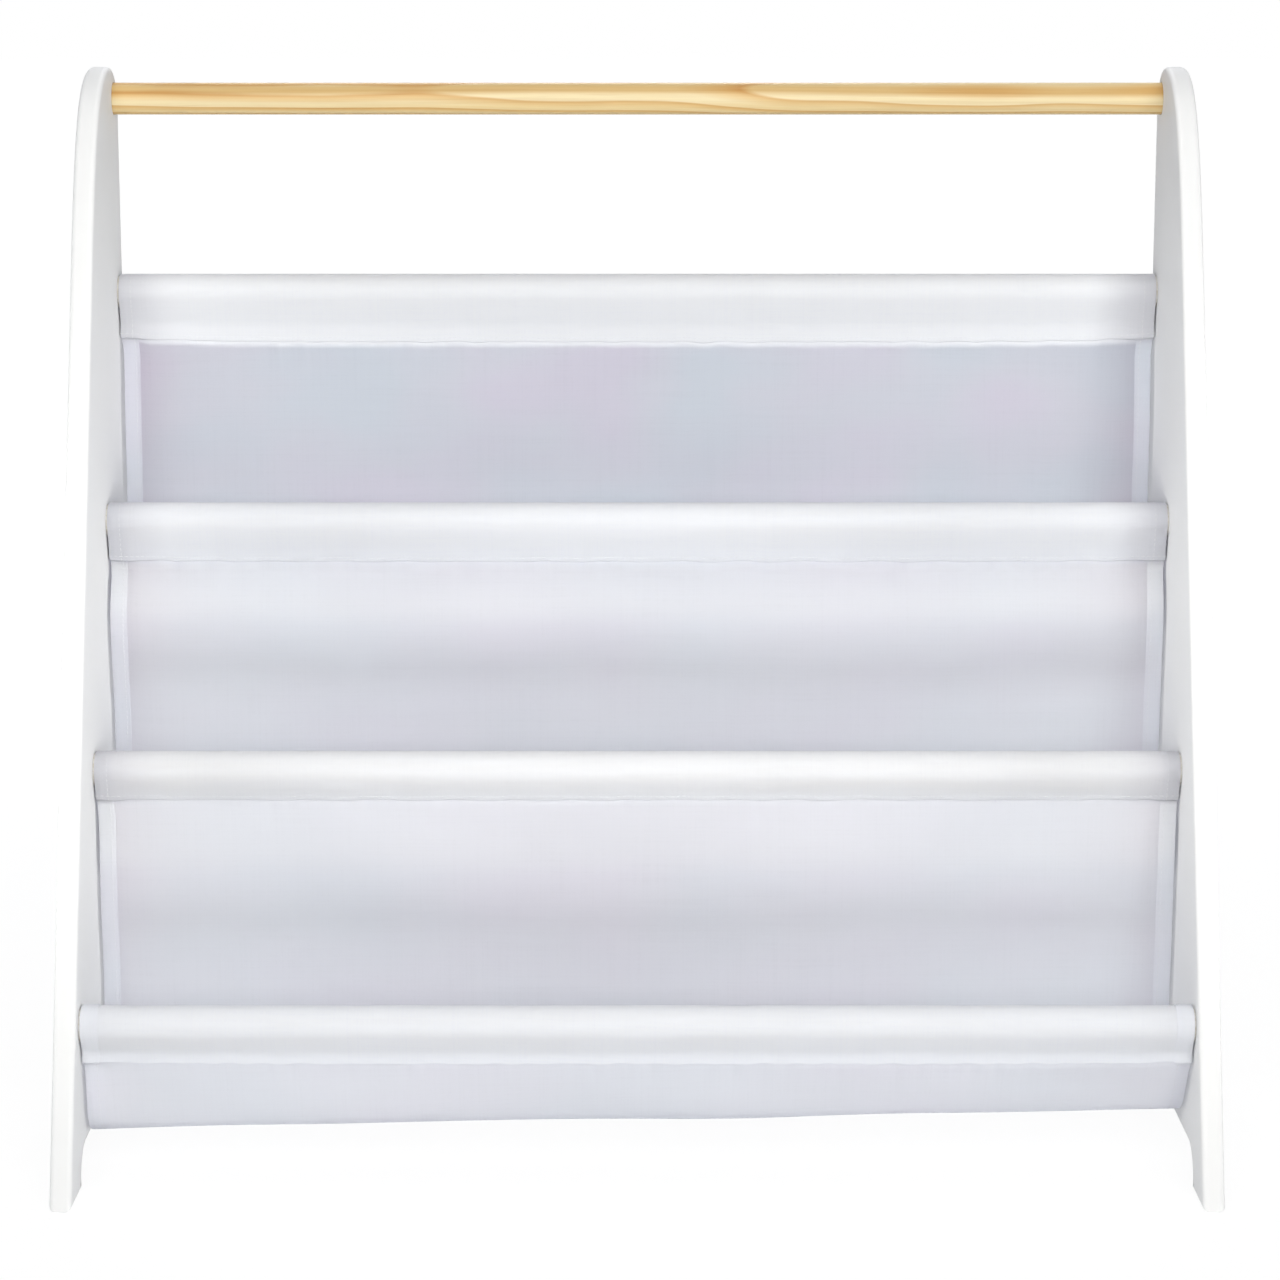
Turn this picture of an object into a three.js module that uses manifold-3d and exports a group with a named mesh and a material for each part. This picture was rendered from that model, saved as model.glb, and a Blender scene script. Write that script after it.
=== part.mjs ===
// A children's sling bookshelf: two painted side panels held apart by five rods, with three
// cloth pockets hung on the lower four. Millimetres, +Z up, +X across, +Y to the back.
import * as THREE from 'three';
import { mergeVertices } from 'three/addons/utils/BufferGeometryUtils.js';
import Module from 'manifold-3d';

const wasm = await Module();
wasm.setup();

// Clearances
const seatGap = 0.3;
const cutOverrun = 1;

// Side panels. Depths are counted from the toe of the front foot to the back edge. The front
// edge leans back in a straight line up to the nose, which curves over to the back corner.
const panelThickness = 12;
const panelDepth = 275;
const panelHeight = 590;
const innerWidth = 596;
const edgeRadius = 3;
const noseDepthShare = 0.5745;
const noseHeightShare = 0.8034;
const noseLowerPullShare = 0.144;
const noseUpperPullShare = 0.164;
const backCornerRadius = 25;
const footLength = 38;
const archHeight = 20;
const heelRise = 3;

// Rods. The four under the cloth step down to the front, as shares of the panel's size.
const rodDiameter = 18;
const socketDepth = 4;
const handleFromBack = 16.5;
const handleFromTop = 18;
const rodPlaceShares = [
  { depth: 0.9455, height: 0.783 },
  { depth: 0.7018, height: 0.5746 },
  { depth: 0.4418, height: 0.3585 },
  { depth: 0.1764, height: 0.1492 },
];

// Bolts, with flat heads sunk in the outer faces, and the threaded inserts in the rod ends
const boltDiameter = 6;
const boltLength = 20;
const boltTipRoom = 1;
const headDiameter = 15;
const headThickness = 2;
const keyAcrossFlats = 4;
const keyDepth = 1.2;
const insertDiameter = 10;
const insertLength = 13;

// Cloth. A sleeve wraps each rod and narrows to a seam below it: tail is how far the seam
// hangs below the roll, and the share says how far it lies towards the roll's front.
const clothThickness = 1.2;
const clothSideGap = 1.5;
const seams = [
  { tail: 16.5, forwardShare: 1 },
  { tail: 10.5, forwardShare: 1 },
  { tail: 4.5, forwardShare: 0.7 },
  { tail: 10.5, forwardShare: 0.55 },
];
const hemOverlap = 6;
const billow = 2.2;
const billowWaves = 1.5;

// How far each pocket's bottom hangs below the seam at its front. The lower pocket hangs
// unevenly, so it has a value for each end of the rods.
const upperPocketDrop = 42;
const middlePocketDrop = 48.5;
const lowerPocketDropLeft = 44.5;
const lowerPocketDropRight = 36.5;

// The line of each pocket's cloth between its two seams: the first share runs from the back
// seam to the front one, the second from the back seam down to the pocket's bottom.
const upperHangShares = [[-0.066, 0.296], [-0.05, 0.66], [0.09, 0.906], [0.45, 1], [0.807, 0.937]];
const middleHangShares = [[0.01, 0.212], [-0.086, 0.565], [-0.042, 0.859], [0.395, 1], [0.818, 0.918]];
const lowerLeftHangShares = [[-0.077, 0.325], [-0.119, 0.67], [-0.035, 0.911], [0.37, 1], [0.804, 0.957]];
const lowerRightHangShares = [[-0.077, 0.34], [-0.119, 0.7], [-0.035, 0.93], [0.273, 1], [0.65, 0.967]];

// Facets of round pieces, of the sleeves and along the cloth
const rodSides = 32;
const holeSides = 24;
const boltSides = 20;
const sleeveSteps = 11;
const hangSteps = 16;
const clothStations = 13;

const rodRadius = rodDiameter / 2;
const socketRadius = rodRadius + seatGap;
const boltHoleRadius = boltDiameter / 2 + seatGap;
const headRadius = headDiameter / 2;
const sleeveInnerRadius = rodRadius + seatGap;
const sleeveOuterRadius = sleeveInnerRadius + clothThickness;
const clothHalf = innerWidth / 2 - clothSideGap;
const panelMiddle = (innerWidth + panelThickness) / 2;
const panelOuter = innerWidth / 2 + panelThickness;
const rodEnd = innerWidth / 2 + socketDepth - seatGap;
const headSeat = panelOuter - headThickness - seatGap;
const insertHoleFloor = headSeat - boltLength - boltTipRoom;
const rodCentres = rodPlaceShares.map((share) => (
  { depth: share.depth * panelDepth, height: share.height * panelHeight }
));
const handleCentre = { depth: panelDepth - handleFromBack, height: panelHeight - handleFromTop };
const dowelCentres = [...rodCentres, handleCentre];

const paint = { color: 0xf6f6f4, roughness: 0.42, metalness: 0 };
const pine = { color: 0xe6c896, roughness: 0.55, metalness: 0 };
const paleWood = { color: 0xdcc8a0, roughness: 0.7, metalness: 0 };
const cloth = { color: 0xeeeef2, roughness: 0.9, metalness: 0 };
const zincSteel = { color: 0xb9bcc0, roughness: 0.35, metalness: 0.9 };
const zincAlloy = { color: 0xa8a79f, roughness: 0.5, metalness: 0.8 };

const shelf = new THREE.Group();
// The row's origin is under the middle of the object, so depths shift back by half.
shelf.position.y = -panelDepth / 2;

function addPiece(name, geometry, finish) {
  const mesh = new THREE.Mesh(geometry, new THREE.MeshStandardMaterial(finish));
  mesh.name = name;
  shelf.add(mesh);
  return mesh;
}

// Turn a closed three.js geometry into a solid that can be cut or joined.
function toSolid(geometry) {
  const bare = geometry.index ? geometry.toNonIndexed() : geometry.clone();
  bare.deleteAttribute('normal');
  bare.deleteAttribute('uv');
  const merged = mergeVertices(bare);
  return new wasm.Manifold(new wasm.Mesh({
    numProp: 3,
    vertProperties: new Float32Array(merged.attributes.position.array),
    triVerts: new Uint32Array(merged.index.array),
  }));
}

function toGeometry(solid) {
  const mesh = solid.getMesh();
  const geometry = new THREE.BufferGeometry();
  geometry.setAttribute('position', new THREE.BufferAttribute(new Float32Array(mesh.vertProperties), 3));
  geometry.setIndex(new THREE.BufferAttribute(new Uint32Array(mesh.triVerts), 1));
  geometry.computeVertexNormals();
  return geometry;
}

// A cylinder along X between two places, at one depth and height.
function barAlongX(radius, fromX, toX, centre, sides) {
  const geometry = new THREE.CylinderGeometry(radius, radius, Math.abs(toX - fromX), sides);
  geometry.rotateZ(Math.PI / 2);
  geometry.translate((fromX + toX) / 2, centre.depth, centre.height);
  return geometry;
}

// The side panel's outline: leaning front edge, long curve over the nose, upright back edge,
// and a low arch that leaves a foot at each end.
function panelOutline() {
  const outline = new THREE.Shape();
  const noseStart = new THREE.Vector2(noseDepthShare * panelDepth, noseHeightShare * panelHeight);
  const lowerPull = noseStart.clone().setLength(noseLowerPullShare * panelHeight);
  const noseEndDepth = panelDepth - backCornerRadius;
  const archBackDepth = panelDepth - footLength;
  const cornerRadius = archHeight - heelRise;
  outline.moveTo(0, 0);
  outline.lineTo(footLength, 0);
  outline.lineTo(footLength, heelRise);
  outline.absarc(footLength + cornerRadius, heelRise, cornerRadius, Math.PI, Math.PI / 2, true);
  outline.absarc(archBackDepth - cornerRadius, heelRise, cornerRadius, Math.PI / 2, 0, true);
  outline.lineTo(archBackDepth, 0);
  outline.lineTo(panelDepth, 0);
  outline.absarc(
    noseEndDepth, panelHeight - backCornerRadius, backCornerRadius, 0, Math.PI / 2, false,
  );
  outline.bezierCurveTo(
    noseEndDepth - noseUpperPullShare * panelDepth, panelHeight,
    noseStart.x + lowerPull.x, noseStart.y + lowerPull.y,
    noseStart.x, noseStart.y,
  );
  outline.closePath();
  return outline;
}

// The outline is drawn in depth and height, so the board is turned to stand across X.
function panelBoard() {
  const board = new THREE.ExtrudeGeometry(panelOutline(), {
    depth: panelThickness - 2 * edgeRadius,
    bevelEnabled: true,
    bevelThickness: edgeRadius,
    bevelSize: edgeRadius,
    bevelOffset: -edgeRadius,
    bevelSegments: 3,
    curveSegments: 10,
  });
  board.translate(0, 0, -(panelThickness - 2 * edgeRadius) / 2);
  const acrossX = new THREE.Matrix4().makeBasis(
    new THREE.Vector3(0, 1, 0), new THREE.Vector3(0, 0, 1), new THREE.Vector3(1, 0, 0),
  );
  board.applyMatrix4(acrossX);
  return board;
}

// side is 1 for the right panel and -1 for the left one. Each rod has a blind socket on the
// inner face, a bolt hole through its floor and a shallow recess outside for the bolt's head.
function sidePanel(side) {
  const board = panelBoard();
  board.translate(side * panelMiddle, 0, 0);
  let solid = toSolid(board);
  const inside = side * innerWidth / 2;
  const outside = side * panelOuter;
  for (const centre of dowelCentres) {
    const cuts = [
      barAlongX(socketRadius, inside - side * cutOverrun, inside + side * socketDepth, centre, holeSides),
      barAlongX(boltHoleRadius, inside, outside, centre, holeSides),
      barAlongX(headRadius + seatGap, side * headSeat, outside + side * cutOverrun, centre, holeSides),
    ];
    for (const cut of cuts) {
      solid = solid.subtract(toSolid(cut));
    }
  }
  return toGeometry(solid);
}

// A rod spans from socket to socket, with a blind hole in each end for the threaded insert.
function dowel(centre) {
  let solid = toSolid(barAlongX(rodRadius, -rodEnd, rodEnd, centre, rodSides));
  for (const side of [-1, 1]) {
    const mouth = side * (rodEnd + cutOverrun);
    const floor = side * insertHoleFloor;
    const hole = barAlongX(insertDiameter / 2 + seatGap, floor, mouth, centre, holeSides);
    solid = solid.subtract(toSolid(hole));
  }
  return toGeometry(solid);
}

// A round piece turned about its own axis, then laid along X with its first end outwards.
function turnedAlongX(profile, side, startX, centre, sides) {
  const points = profile.map(([radius, along]) => new THREE.Vector2(radius, along));
  const geometry = new THREE.LatheGeometry(points, sides);
  geometry.rotateZ(side * Math.PI / 2);
  geometry.translate(side * startX, centre.depth, centre.height);
  return geometry;
}

// A plain sleeve, flush with the rod's end.
function threadedInsert(side, centre) {
  const outer = insertDiameter / 2;
  const profile = [
    [boltHoleRadius, 0],
    [outer, 0],
    [outer, insertLength],
    [boltHoleRadius, insertLength],
    [boltHoleRadius, 0],
  ];
  return turnedAlongX(profile, side, rodEnd, centre, boltSides);
}

// A flat head with a hexagonal key socket, and a plain shank.
function bolt(side, centre) {
  const shank = boltDiameter / 2;
  const tip = headThickness + boltLength;
  const profile = [
    [0, 0],
    [headRadius, 0],
    [headRadius, headThickness],
    [shank, headThickness],
    [shank, tip],
    [0, tip],
  ];
  const headTop = headSeat + headThickness;
  const body = turnedAlongX(profile, side, headTop, centre, boltSides);
  const keyRadius = keyAcrossFlats / Math.sqrt(3);
  const keyFloor = side * (headTop - keyDepth);
  const keyMouth = side * (headTop + cutOverrun);
  const key = barAlongX(keyRadius, keyFloor, keyMouth, centre, 6);
  return toGeometry(toSolid(body).subtract(toSolid(key)));
}

// The seam below a rod, where its sleeve closes and the hanging cloth begins.
function seamOf(rodIndex) {
  const centre = rodCentres[rodIndex];
  const seam = seams[rodIndex];
  const forward = seam.forwardShare * (sleeveOuterRadius - clothThickness / 2);
  return new THREE.Vector2(centre.depth - forward, centre.height - sleeveOuterRadius - seam.tail);
}

// The angles, about a circle's middle, where the two tangents from a point touch it:
// the one on the front side first.
function tangentAngles(point, centre, radius) {
  const away = new THREE.Vector2(point.x - centre.depth, point.y - centre.height);
  const spread = Math.acos(radius / away.length());
  const facing = Math.atan2(away.y, away.x);
  return { front: facing - spread, back: facing + spread };
}

// The line round a rod from the front touching point, over the top, to the back one.
function wrap(centre, radius, frontAngle, backAngle) {
  const points = [];
  const sweep = frontAngle + 2 * Math.PI - backAngle;
  for (let step = 0; step <= sleeveSteps; step += 1) {
    const angle = frontAngle - sweep * step / sleeveSteps;
    points.push(new THREE.Vector2(
      centre.depth + radius * Math.cos(angle),
      centre.height + radius * Math.sin(angle),
    ));
  }
  return points;
}

// A rod's sleeve seen from its end: the outer line from the seam's front side to its back
// side, and the teardrop hole that the rod and the closing seam leave.
function sleeve(rodIndex) {
  const centre = rodCentres[rodIndex];
  const seam = seamOf(rodIndex);
  const half = clothThickness / 2;
  const frontSide = new THREE.Vector2(seam.x - half, seam.y);
  const backSide = new THREE.Vector2(seam.x + half, seam.y);
  const front = tangentAngles(frontSide, centre, sleeveOuterRadius).front;
  const back = tangentAngles(backSide, centre, sleeveOuterRadius).back;
  const innerShare = sleeveInnerRadius / sleeveOuterRadius;
  const apex = new THREE.Vector2(
    centre.depth + (seam.x - centre.depth) * innerShare,
    centre.height + (seam.y - centre.height) * innerShare,
  );
  const inner = tangentAngles(apex, centre, sleeveInnerRadius);
  return {
    outer: [frontSide, ...wrap(centre, sleeveOuterRadius, front, back), backSide],
    hole: [apex, ...wrap(centre, sleeveInnerRadius, inner.front, inner.back)].reverse(),
  };
}

// Both sides of the hanging cloth: its middle line moved out by half the cloth. It leaves the
// upper seam straight down and comes to the front one straight up.
function hangingSides(line) {
  const curve = new THREE.SplineCurve(line);
  const back = [];
  const front = [];
  for (let step = 0; step <= hangSteps; step += 1) {
    const point = curve.getPoint(step / hangSteps);
    const along = curve.getTangent(step / hangSteps);
    if (step === 0 || step === hangSteps) {
      along.set(0, Math.sign(along.y));
    }
    const out = new THREE.Vector2(along.y, -along.x).multiplyScalar(clothThickness / 2);
    back.push(point.clone().sub(out));
    front.push(point.clone().add(out));
  }
  return { back, front };
}

// The cloth of a pocket, cut across at one place. across runs from -1 at the left end to 1
// at the right one. The pocket's front edge is sewn behind the seam of the next rod, or,
// where it has its own front sleeve, goes round that rod.
function pocketSection(pocket, across) {
  const topSleeve = sleeve(pocket.rod);
  const seam = seamOf(pocket.rod);
  const nextSeam = seamOf(pocket.rod + 1);
  const rightShare = (across + 1) / 2;
  const bottomDrop = THREE.MathUtils.lerp(pocket.left.drop, pocket.right.drop, rightShare);
  const fullDrop = seam.y - nextSeam.y + bottomDrop;
  const wave = Math.cos(across * billowWaves * Math.PI + pocket.rod);
  const line = pocket.left.shares.map((left, index) => {
    const right = pocket.right.shares[index];
    const forward = THREE.MathUtils.lerp(left[0], right[0], rightShare);
    const down = THREE.MathUtils.lerp(left[1], right[1], rightShare);
    const swell = Math.sin(Math.PI * (index + 1) / (pocket.left.shares.length + 1));
    return new THREE.Vector2(
      seam.x + (nextSeam.x - seam.x) * forward + billow * swell * wave,
      seam.y - fullDrop * down,
    );
  });
  const hem = new THREE.Vector2(0, hemOverlap);
  if (pocket.ownFrontSleeve) {
    const frontSleeve = sleeve(pocket.rod + 1);
    const sides = hangingSides([seam.clone().sub(hem), ...line, nextSeam.clone().sub(hem)]);
    return {
      outer: [...topSleeve.outer, ...sides.back, ...frontSleeve.outer, ...sides.front.reverse()],
      holes: [topSleeve.hole, frontSleeve.hole],
    };
  }
  const half = new THREE.Vector2(clothThickness / 2, 0);
  const edge = new THREE.Vector2(nextSeam.x + clothThickness + seatGap, nextSeam.y - seatGap);
  const sides = hangingSides([seam.clone().sub(hem), ...line, edge.clone().sub(hem)]);
  const edgeEnds = [edge.clone().sub(half), edge.clone().add(half)];
  return {
    outer: [...topSleeve.outer, ...sides.back, ...edgeEnds, ...sides.front.reverse()],
    holes: [topSleeve.hole],
  };
}

// Join equal sections along X into one closed solid: walls between stations, and two ends.
function loftAlongX(sectionAt) {
  const positions = [];
  const index = [];
  const sections = [];
  for (let station = 0; station <= clothStations; station += 1) {
    const across = 2 * station / clothStations - 1;
    const section = sectionAt(across);
    sections.push(section);
    for (const point of [section.outer, ...section.holes].flat()) {
      positions.push(across * clothHalf, point.x, point.y);
    }
  }
  const loops = [sections[0].outer, ...sections[0].holes];
  const ringSize = loops.flat().length;
  let loopStart = 0;
  for (const loop of loops) {
    for (let station = 0; station < clothStations; station += 1) {
      for (let i = 0; i < loop.length; i += 1) {
        const next = (i + 1) % loop.length;
        const here = station * ringSize + loopStart;
        const there = here + ringSize;
        index.push(here + i, there + i, there + next);
        index.push(here + i, there + next, here + next);
      }
    }
    loopStart += loop.length;
  }
  for (const station of [0, clothStations]) {
    const faces = THREE.ShapeUtils.triangulateShape(sections[station].outer, sections[station].holes);
    const start = station * ringSize;
    for (const [a, b, c] of faces) {
      const turned = station === 0 ? [a, c, b] : [a, b, c];
      index.push(...turned.map((corner) => start + corner));
    }
  }
  const geometry = new THREE.BufferGeometry();
  geometry.setAttribute('position', new THREE.Float32BufferAttribute(positions, 3));
  geometry.setIndex(index);
  geometry.computeVertexNormals();
  return geometry;
}

function sling(pocket) {
  return loftAlongX((across) => pocketSection(pocket, across));
}

const upperEnd = { drop: upperPocketDrop, shares: upperHangShares };
const middleEnd = { drop: middlePocketDrop, shares: middleHangShares };
const lowerLeftEnd = { drop: lowerPocketDropLeft, shares: lowerLeftHangShares };
const lowerRightEnd = { drop: lowerPocketDropRight, shares: lowerRightHangShares };
const upperPocket = { rod: 0, left: upperEnd, right: upperEnd, ownFrontSleeve: false };
const middlePocket = { rod: 1, left: middleEnd, right: middleEnd, ownFrontSleeve: false };
const lowerPocket = { rod: 2, left: lowerLeftEnd, right: lowerRightEnd, ownFrontSleeve: true };

addPiece('left_side_panel', sidePanel(-1), paint);
addPiece('right_side_panel', sidePanel(1), paint);
addPiece('handle_dowel', dowel(handleCentre), pine);
rodCentres.forEach((centre, index) => {
  addPiece(`sling_rod_${index + 1}`, dowel(centre), paleWood);
});
addPiece('upper_sling', sling(upperPocket), cloth);
addPiece('middle_sling', sling(middlePocket), cloth);
addPiece('lower_sling', sling(lowerPocket), cloth);
for (const [sideName, side] of [['left', -1], ['right', 1]]) {
  dowelCentres.forEach((centre, index) => {
    addPiece(`${sideName}_bolt_${index + 1}`, bolt(side, centre), zincSteel);
    addPiece(`${sideName}_insert_${index + 1}`, threadedInsert(side, centre), zincAlloy);
  });
}

export default shelf;
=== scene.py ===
# %% [markdown]
# # A children's sling bookshelf
# Two painted side panels are joined by five round rods. Three pockets of thin white cloth
# hang on the lower four, and the bare top rod is the handle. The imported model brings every
# piece at its true size and place. This script dresses it: smooth panels and rods, hemmed
# and stitched cloth, paint, pine, thread and zinc.

# %% Load the frame
import math

import bmesh
import bpy
import numpy as np
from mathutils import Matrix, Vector


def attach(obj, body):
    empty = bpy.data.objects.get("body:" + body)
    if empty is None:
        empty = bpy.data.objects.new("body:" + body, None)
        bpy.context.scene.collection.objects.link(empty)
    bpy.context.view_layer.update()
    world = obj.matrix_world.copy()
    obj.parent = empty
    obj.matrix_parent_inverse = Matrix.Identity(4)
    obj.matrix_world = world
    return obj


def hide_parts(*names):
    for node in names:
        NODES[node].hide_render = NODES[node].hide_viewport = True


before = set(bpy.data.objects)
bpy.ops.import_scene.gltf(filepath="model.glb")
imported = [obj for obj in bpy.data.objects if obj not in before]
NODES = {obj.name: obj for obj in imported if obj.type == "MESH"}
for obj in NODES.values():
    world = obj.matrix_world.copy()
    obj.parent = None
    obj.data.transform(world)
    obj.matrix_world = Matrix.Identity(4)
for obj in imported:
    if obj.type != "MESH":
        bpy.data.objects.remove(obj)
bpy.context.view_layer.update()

MM = 0.001
print("nodes in the frame:", len(NODES))

# %% [markdown]
# ## Camera
# The photograph was taken from the front, a little above the shelf, with a long lens, which
# keeps the panels almost upright. The values were fitted to the edges of panels and rods.

# %% Camera
camera_data = bpy.data.cameras.new("front_camera")
camera_data.lens = 99.03
camera_data.sensor_width = 36
camera = bpy.data.objects.new("front_camera", camera_data)
camera.location = (0.0015, -1.9055, 0.6342)
camera.rotation_euler = (math.radians(79.5), 0, 0)
bpy.context.scene.collection.objects.link(camera)
bpy.context.scene.camera = camera
bpy.context.scene.view_settings.view_transform = "Standard"
print("camera height:", camera.location.z)

# %% [markdown]
# ## Node helpers
# Every finish below is a small node tree. One helper adds a node and sets its sockets, and
# short ones cover what the finishes need again and again, so that each material reads as a
# list of what it mixes.

# %% Node helpers
PRINCIPLED = "ShaderNodeBsdfPrincipled"
MIX_SHADER = "ShaderNodeMixShader"


def add_node(tree, kind, values=None, **settings):
    made = tree.nodes.new(kind)
    for name, value in settings.items():
        setattr(made, name, value)
    for name, value in (values or {}).items():
        socket = made.inputs[name]
        if isinstance(value, bpy.types.NodeSocket):
            tree.links.new(value, socket)
        else:
            socket.default_value = value
    return made


def new_finish(name):
    finish = bpy.data.materials.new(name)
    finish.use_nodes = True
    finish.node_tree.nodes.clear()
    return finish, finish.node_tree


def result(tree, kind, values=None, **settings):
    return add_node(tree, kind, values, **settings).outputs[0]


def math_node(tree, operation, first, second=0.0):
    return result(tree, "ShaderNodeMath", {0: first, 1: second}, operation=operation)


def vector_math(tree, operation, first, second=(0, 0, 0)):
    return add_node(tree, "ShaderNodeVectorMath", {0: first, 1: second}, operation=operation)


def along_axis(tree, vector, axis):
    return add_node(tree, "ShaderNodeSeparateXYZ", {"Vector": vector}).outputs[axis]


def stretched(tree, coordinates, scale, turn=(0, 0, 0)):
    mapping = add_node(tree, "ShaderNodeMapping", {"Vector": coordinates, "Scale": scale, "Rotation": turn})
    return mapping.outputs["Vector"]


def noise(tree, coordinates, scale, detail=2.0, roughness=0.5):
    values = {"Vector": coordinates, "Scale": scale, "Detail": detail, "Roughness": roughness}
    return add_node(tree, "ShaderNodeTexNoise", values).outputs["Fac"]


def grain(tree, coordinates, stretch, detail, turn=(0, 0, 0)):
    """Noise drawn out along an axis, as in wood, yarn and turned metal."""
    return noise(tree, stretched(tree, coordinates, stretch, turn), 1.0, detail)


def ramp(tree, value, stops):
    made = add_node(tree, "ShaderNodeValToRGB", {"Fac": value})
    while len(made.color_ramp.elements) < len(stops):
        made.color_ramp.elements.new(0.5)
    for element, (place, colour) in zip(made.color_ramp.elements, stops):
        element.position = place
        element.color = (*colour, 1)
    return made.outputs["Color"]


def between(tree, value, low, high, start=0.0, end=1.0):
    """Low where the value is at its start, high where it is at its end."""
    values = {"Value": value, "From Min": start, "From Max": end, "To Min": low, "To Max": high}
    return add_node(tree, "ShaderNodeMapRange", values).outputs["Result"]


def mixed_colours(tree, share, first, second, blend="MIX"):
    values = {0: share, 6: first, 7: second}
    return add_node(tree, "ShaderNodeMix", values, data_type="RGBA", blend_type=blend).outputs[2]


def bump(tree, height, strength, distance, normal=None):
    values = {"Height": height, "Strength": strength, "Distance": distance}
    if normal is not None:
        values["Normal"] = normal
    return add_node(tree, "ShaderNodeBump", values).outputs["Normal"]


def object_place(tree):
    return add_node(tree, "ShaderNodeTexCoord").outputs["Object"]


def attribute(tree, name):
    made = add_node(tree, "ShaderNodeAttribute", attribute_name=name, attribute_type="GEOMETRY")
    return made.outputs["Fac"]


def show(tree, kind, values):
    """Ends a finish with its last shader."""
    add_node(tree, "ShaderNodeOutputMaterial", {"Surface": result(tree, kind, values)})


# %% [markdown]
# ## Floor, backdrop and light
# The shelf stands in a white studio. The floor and the world look white to the camera and
# in gloss, but that white doesn't light the shelf, so paint and cloth keep their shades.
# Most light comes softly from the front and above. Less comes from behind, so thin cloth
# with nothing behind it looks darker than cloth that lies double. Small lamps in front at
# each side reach the inner face of the panel across from them, and two more stand beside
# the shelf for the outer faces.

# %% Floor and world
SEEN_WHITE_NEAR = 0.93
SEEN_WHITE_FAR = 1.0
NEAR_FLOOR = 0.5
FAR_FLOOR = 2.2
FLOOR_BOUNCE = 0.88
FLOOR_SHADE = 0.09
FLOOR_SIZE = 60.0
SKY = (0.72, 0.8, 1, 1)
SKY_STRENGTH = 0.12


def seen_directly(tree):
    """1 for what the camera, gloss or glass sees, 0 for light that cloth and paint scatter."""
    path = add_node(tree, "ShaderNodeLightPath")
    either = math_node(tree, "MAXIMUM", path.outputs["Is Camera Ray"], path.outputs["Is Glossy Ray"])
    seen = math_node(tree, "MAXIMUM", either, path.outputs["Is Transmission Ray"])
    scattered = math_node(tree, "SUBTRACT", 1.0, path.outputs["Is Diffuse Ray"])
    return math_node(tree, "MULTIPLY", seen, scattered)


def grey_matte(tree, level):
    return result(tree, "ShaderNodeBsdfDiffuse", {"Color": (level, level, level, 1)})


def studio_floor():
    finish, tree = new_finish("studio_floor")
    away = vector_math(tree, "LENGTH", object_place(tree)).outputs["Value"]
    brightness = between(tree, away, SEEN_WHITE_NEAR, SEEN_WHITE_FAR, NEAR_FLOOR, FAR_FLOOR)
    glow = result(tree, "ShaderNodeEmission", {"Strength": brightness})
    pale = result(tree, "ShaderNodeAddShader", {0: glow, 1: grey_matte(tree, FLOOR_SHADE)})
    show(tree, MIX_SHADER, {0: seen_directly(tree), 1: grey_matte(tree, FLOOR_BOUNCE), 2: pale})
    bpy.ops.mesh.primitive_plane_add(size=FLOOR_SIZE)
    floor = bpy.context.object
    floor.name = "studio_floor"
    floor.data.materials.append(finish)


def studio_world():
    world = bpy.data.worlds.new("studio_world")
    world.use_nodes = True
    tree = world.node_tree
    tree.nodes.clear()
    soft = result(tree, "ShaderNodeBackground", {"Color": SKY, "Strength": SKY_STRENGTH})
    white = result(tree, "ShaderNodeBackground", {"Color": (1, 1, 1, 1), "Strength": 1.0})
    mix = result(tree, MIX_SHADER, {0: seen_directly(tree), 1: soft, 2: white})
    add_node(tree, "ShaderNodeOutputWorld", {"Surface": mix})
    bpy.context.scene.world = world


studio_floor()
studio_world()
print("floor and world are in place")

# %% Lamps
WARM_WHITE = (1, 0.995, 0.965)
COOL_WHITE = (0.95, 0.965, 1)
SHELF_MIDDLE = (0, 0, 0.3)


def soft_lamp(name, place, aim, size, power, colour=(1, 1, 1), spread=180):
    data = bpy.data.lights.new(name, "AREA")
    data.shape = "RECTANGLE"
    data.size, data.size_y = size
    data.energy = power
    data.color = colour
    data.spread = math.radians(spread)
    lamp = bpy.data.objects.new(name, data)
    lamp.location = place
    lamp.rotation_euler = (Vector(aim) - Vector(place)).to_track_quat("-Z", "Y").to_euler()
    lamp.visible_camera = False
    bpy.context.scene.collection.objects.link(lamp)
    return lamp


soft_lamp("front_light", (0.22, -2.8, 1.2), SHELF_MIDDLE, (2.4, 1.5), power=61, colour=WARM_WHITE)
soft_lamp("high_light", (0.1, -2.5, 2.0), SHELF_MIDDLE, (2.4, 1.2), power=16, colour=WARM_WHITE)
soft_lamp("top_light", (0, -0.1, 2.4), SHELF_MIDDLE, (1.6, 1.0), power=12)
soft_lamp("back_light", (0, 2.2, 1.9), (0, 0, 0.35), (1.2, 0.9), power=20, colour=COOL_WHITE)
for name, side, power in (("left_light", -1, 0.235), ("right_light", 1, 0.25)):
    place, aim = (side * 0.95, -0.3, 0.3), (-side * 0.3, 0.0, 0.28)
    soft_lamp(name, place, aim, (0.3, 0.25), power, WARM_WHITE, spread=36)
    place, aim = (side * 3.0, 0.05, 0.35), (side * 0.3, 0.05, 0.3)
    soft_lamp("outer_" + name, place, aim, (0.4, 0.4), power=3.6, spread=90)
print("lamps:", len(bpy.data.lights))

# %% [markdown]
# ## The measures
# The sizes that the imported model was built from, in millimetres. Depth counts from the toe
# of the front foot to the back edge. Panels, rods, cloth and bolts are all made from them.

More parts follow.
